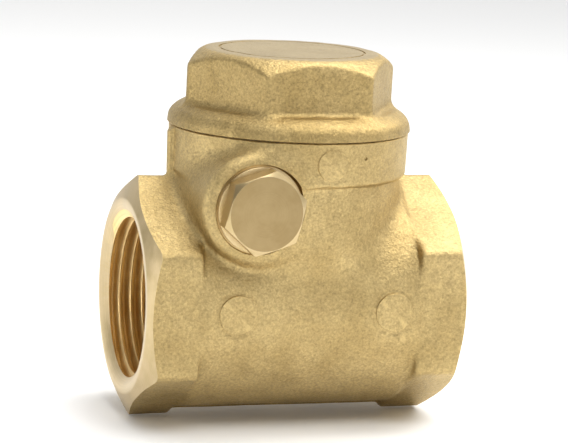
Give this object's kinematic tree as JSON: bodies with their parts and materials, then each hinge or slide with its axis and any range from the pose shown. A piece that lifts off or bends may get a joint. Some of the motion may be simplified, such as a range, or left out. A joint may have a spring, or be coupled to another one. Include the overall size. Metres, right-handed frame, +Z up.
{
  "type": "swing check valve",
  "caption": "Forged brass swing check valve with hexagonal threaded ends, a screwed cap, a side plug over the hinge pin and a rubber-faced swinging disc.",
  "frame": {"origin": "on the pipe axis, in the plane where the inlet thread begins, 2.2 mm inside the inlet end face", "axes": "+X along the flow from inlet to outlet, +Z up the neck through the cap, the side plug faces -Y"},
  "size_m": [0.0636, 0.0498, 0.0716],
  "materials": {
    "forged_brass": "shot-blasted forging",
    "cast_brass": "as cast",
    "turned_brass": "turned, bright",
    "steel_pin": "ground stainless",
    "rubber": "moulded nitrile rubber",
    "ptfe": "PTFE sheet"
  },
  "bodies": {
    "body": {"body": "forged_brass"},
    "hinge_pin": {"hinge_pin": "steel_pin"},
    "hanger": {"hanger": "cast_brass"},
    "disc": {"disc_holder": "cast_brass", "seat_disc": "rubber", "seat_disc_washer": "turned_brass", "seat_disc_nut": "turned_brass", "hanger_washer": "turned_brass", "hanger_nut": "turned_brass"},
    "cap_gasket": {"cap_gasket": "ptfe"},
    "cap": {"cap": "forged_brass"},
    "plug_washer": {"plug_washer": "turned_brass"},
    "side_plug": {"side_plug": "turned_brass"}
  },
  "joints": [
    {"name": "disc_swing", "type": "hinge", "parent": "body", "child": "hanger", "pos_m": [0.0178, 0, 0.0205], "axis": [0, -1, 0], "range_deg": [0, 70]},
    {"name": "disc_spin", "type": "hinge", "parent": "hanger", "child": "disc", "pos_m": [0.02175, 0, 0], "axis": [1, 0, 0], "continuous": true},
    {"name": "pin_spin", "type": "hinge", "parent": "body", "child": "hinge_pin", "pos_m": [0.0178, 0, 0.0205], "axis": [0, 1, 0], "continuous": true},
    {"name": "cap_lift", "type": "slide", "parent": "body", "child": "cap_gasket", "axis": [0, 0, 1], "range_m": [0, 0.0065]},
    {"name": "cap_turn", "type": "hinge", "parent": "cap_gasket", "child": "cap", "pos_m": [0.0296, 0, 0.0333], "axis": [0, 0, 1], "range_deg": [0, 1560]},
    {"name": "plug_out", "type": "slide", "parent": "body", "child": "plug_washer", "axis": [0, -1, 0], "range_m": [0, 0.007]},
    {"name": "plug_turn", "type": "hinge", "parent": "plug_washer", "child": "side_plug", "pos_m": [0.0178, -0.0223, 0.0205], "axis": [0, -1, 0], "range_deg": [0, 2010]}
  ],
  "couplings": [
    {"joint": "cap_lift", "follows": "cap_turn", "m_per_rad": 0.00023873},
    {"joint": "plug_out", "follows": "plug_turn", "m_per_rad": 0.00019894}
  ]
}
